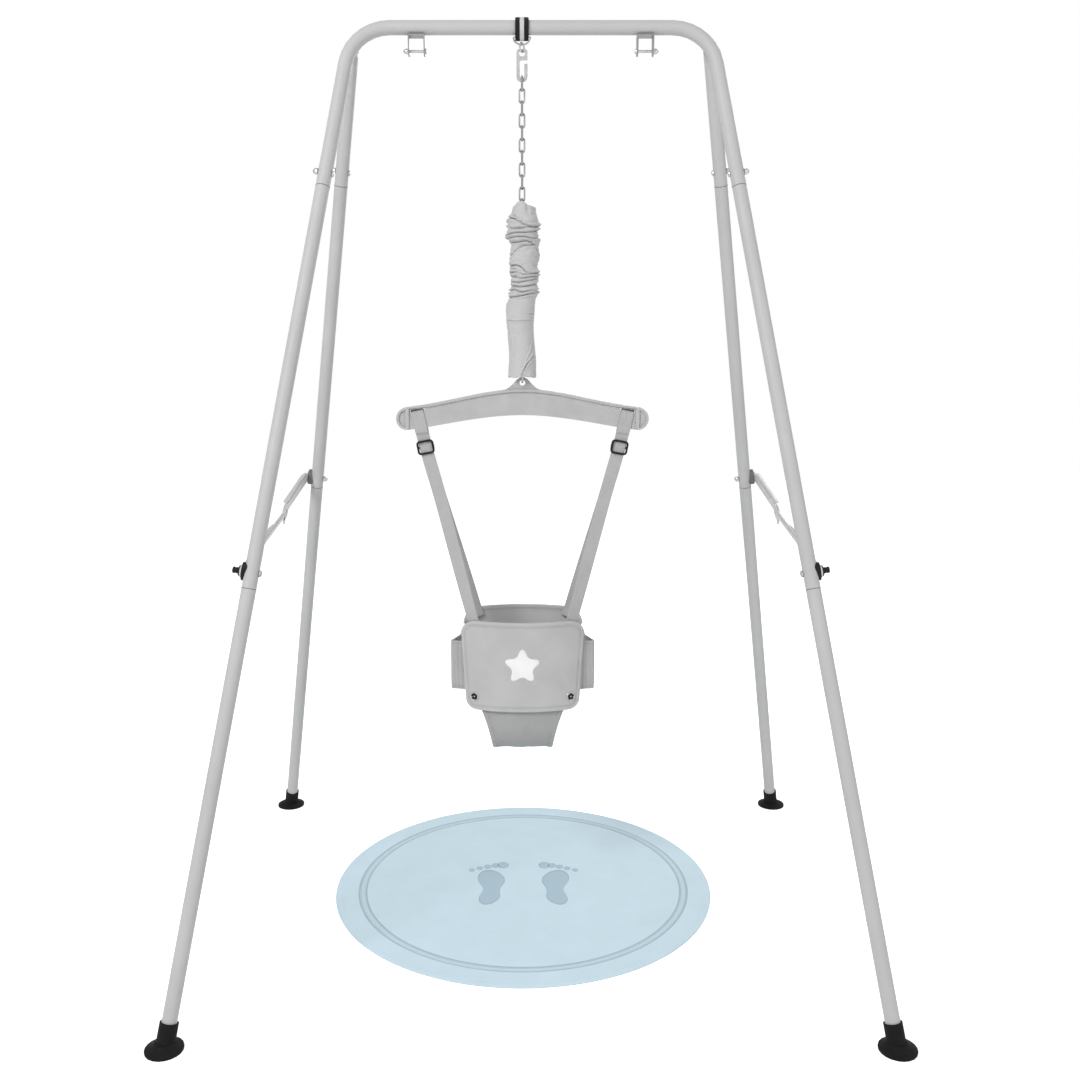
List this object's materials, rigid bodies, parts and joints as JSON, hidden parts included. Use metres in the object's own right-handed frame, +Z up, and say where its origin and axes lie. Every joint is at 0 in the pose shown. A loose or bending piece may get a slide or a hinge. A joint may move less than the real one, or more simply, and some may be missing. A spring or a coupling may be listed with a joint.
{
  "type": "baby jumper with stand",
  "caption": "Baby jumper on a free-standing folding tubular frame, with a sleeved spring, chain, hanger and fabric harness over a round mat",
  "frame": {"origin": "on the floor, in the middle of the four feet", "axes": "+Z up, -Y to the front, +X to the right as seen from the front"},
  "size_m": [1.232, 1.024, 1.6732],
  "materials": {
    "frame_paint": "satin grey powder coat",
    "zinc_steel": "zinc-plated steel",
    "chain_steel": "plain steel wire",
    "brace_steel": "satin grey pressed steel",
    "foot_rubber": "matt black rubber",
    "black_plastic": "matt black plastic",
    "grey_plastic": "light grey moulded plastic",
    "black_webbing": "black woven webbing with a grey centre stripe",
    "grey_webbing": "light grey woven webbing",
    "panel_fabric": "light grey padded fabric, double-stitched",
    "seat_fabric": "mid grey fabric",
    "sleeve_fabric": "light grey gathered fabric",
    "mat_fabric": "pale blue fabric"
  },
  "bodies": {
    "frame": {"top_tube": "frame_paint", "hinge_bracket_left": "frame_paint", "hinge_pin_left": "zinc_steel", "front_upper_leg_left": "frame_paint", "front_lower_leg_left": "frame_paint", "front_foot_left": "foot_rubber", "front_stub_bolt_left": "zinc_steel", "front_saddle_left": "black_plastic", "front_pivot_bolt_left": "zinc_steel", "pivot_knob_left": "black_plastic", "swing_bracket_left": "frame_paint", "swing_bracket_bolt_left": "zinc_steel", "hinge_bracket_right": "frame_paint", "hinge_pin_right": "zinc_steel", "front_upper_leg_right": "frame_paint", "front_lower_leg_right": "frame_paint", "front_foot_right": "foot_rubber", "front_stub_bolt_right": "zinc_steel", "front_saddle_right": "black_plastic", "front_pivot_bolt_right": "zinc_steel", "pivot_knob_right": "black_plastic", "swing_bracket_right": "frame_paint", "swing_bracket_bolt_right": "zinc_steel"},
    "rear_leg_left": {"rear_stub_left": "frame_paint", "rear_upper_leg_left": "frame_paint", "rear_lower_leg_left": "frame_paint", "rear_foot_left": "foot_rubber", "rear_stub_bolt_left": "zinc_steel", "rear_saddle_left": "black_plastic", "rear_pivot_bolt_left": "zinc_steel"},
    "rear_leg_right": {"rear_stub_right": "frame_paint", "rear_upper_leg_right": "frame_paint", "rear_lower_leg_right": "frame_paint", "rear_foot_right": "foot_rubber", "rear_stub_bolt_right": "zinc_steel", "rear_saddle_right": "black_plastic", "rear_pivot_bolt_right": "zinc_steel"},
    "brace_front_half_left": {"front_brace_left": "brace_steel"},
    "brace_rear_half_left": {"rear_brace_left": "brace_steel"},
    "brace_front_half_right": {"front_brace_right": "brace_steel"},
    "brace_rear_half_right": {"rear_brace_right": "brace_steel"},
    "bar_loop": {"bar_strap": "black_webbing"},
    "ring": {"d_ring": "zinc_steel"},
    "hook": {"round_ring": "zinc_steel", "hook_plate": "zinc_steel"},
    "chain_line": {"chain": "chain_steel"},
    "spring": {"coil_spring": "chain_steel", "spring_sleeve": "sleeve_fabric"},
    "lower_eye": {"spring_lower_eye": "zinc_steel"},
    "link": {"hanger_link": "zinc_steel"},
    "harness": {"hanger": "grey_plastic", "shoulder_strap_left": "grey_webbing", "shoulder_strap_right": "grey_webbing", "front_panel": "panel_fabric", "back_panel": "panel_fabric", "seat": "seat_fabric"},
    "buckle_left": {"slide_buckle_left": "black_plastic"},
    "buckle_right": {"slide_buckle_right": "black_plastic"},
    "mat": {"play_mat": "mat_fabric"}
  },
  "joints": [
    {"name": "rear_leg_fold_right", "type": "hinge", "parent": "frame", "child": "rear_leg_right", "pos_m": [0.32152, 0.0289, 1.62], "axis": [-0.987, 0, -0.1605], "range_deg": [0, 31]},
    {"name": "front_brace_fold_right", "type": "hinge", "parent": "frame", "child": "brace_front_half_right", "pos_m": [0.46578, -0.26822, 0.733], "axis": [0.987, 0, 0.1605], "range_deg": [-0.5, 65.1]},
    {"name": "rear_brace_fold_right", "type": "hinge", "parent": "rear_leg_right", "child": "brace_rear_half_right", "pos_m": [0.45001, 0.24937, 0.83], "axis": [-0.987, 0, -0.1605], "range_deg": [-0.5, 75.36]},
    {"name": "rear_leg_fold_left", "type": "hinge", "parent": "frame", "child": "rear_leg_left", "pos_m": [-0.32152, 0.0289, 1.62], "axis": [-0.987, 0, 0.1605], "range_deg": [0, 31]},
    {"name": "front_brace_fold_left", "type": "hinge", "parent": "frame", "child": "brace_front_half_left", "pos_m": [-0.46578, -0.26822, 0.733], "axis": [0.987, 0, -0.1605], "range_deg": [-0.5, 65.1]},
    {"name": "rear_brace_fold_left", "type": "hinge", "parent": "rear_leg_left", "child": "brace_rear_half_left", "pos_m": [-0.45001, 0.24937, 0.83], "axis": [-0.987, 0, 0.1605], "range_deg": [-0.5, 75.36]},
    {"name": "strap_slide", "type": "slide", "parent": "frame", "child": "bar_loop", "axis": [1, 0, 0], "range_m": [-0.145, 0.175]},
    {"name": "fore_and_aft_swing", "type": "hinge", "parent": "bar_loop", "child": "ring", "pos_m": [-0.016, 0, 1.641], "axis": [1, 0, 0], "range_deg": [-30, 30]},
    {"name": "hook_turn", "type": "hinge", "parent": "ring", "child": "hook", "pos_m": [-0.016, 0, 1.6282], "axis": [0, 0, 1], "range_deg": [-20, 70]},
    {"name": "side_swing", "type": "hinge", "parent": "hook", "child": "chain_line", "pos_m": [-0.016, 0, 1.57275], "axis": [0, 1, 0], "range_deg": [-15, 15]},
    {"name": "spring_swing", "type": "hinge", "parent": "chain_line", "child": "spring", "pos_m": [-0.016, 0, 1.3664], "axis": [1, 0, 0], "range_deg": [-20, 20]},
    {"name": "bounce", "type": "slide", "parent": "spring", "child": "lower_eye", "axis": [0, 0, -1], "range_m": [0, 0.15], "stiffness_N_per_m": 600, "springref_m": -0.05, "deforming": ["coil_spring", "spring_sleeve"]},
    {"name": "harness_swing", "type": "hinge", "parent": "lower_eye", "child": "link", "pos_m": [-0.016, 0, 1.07269], "axis": [1, 0, 0], "range_deg": [-25, 25]},
    {"name": "hanger_tilt", "type": "hinge", "parent": "link", "child": "harness", "pos_m": [-0.016, 0, 1.03795], "axis": [0, 1, 0], "range_deg": [-20, 20]},
    {"name": "buckle_slide_right", "type": "slide", "parent": "harness", "child": "buckle_right", "axis": [-0.2666, 0, -0.9638], "range_m": [0, 0.06]},
    {"name": "buckle_slide_left", "type": "slide", "parent": "harness", "child": "buckle_left", "axis": [0.2666, 0, -0.9638], "range_m": [0, 0.06]},
    {"name": "mat_slide", "type": "slide", "parent": "frame", "child": "mat", "axis": [0, -1, 0], "range_m": [0, 0.4]}
  ],
  "couplings": [
    {"joint": "front_brace_fold_right", "follows": "rear_leg_fold_right", "ratio": 2.0838},
    {"joint": "rear_brace_fold_right", "follows": "rear_leg_fold_right", "ratio": 2.4148},
    {"joint": "front_brace_fold_left", "follows": "rear_leg_fold_left", "ratio": 2.0838},
    {"joint": "rear_brace_fold_left", "follows": "rear_leg_fold_left", "ratio": 2.4148}
  ]
}
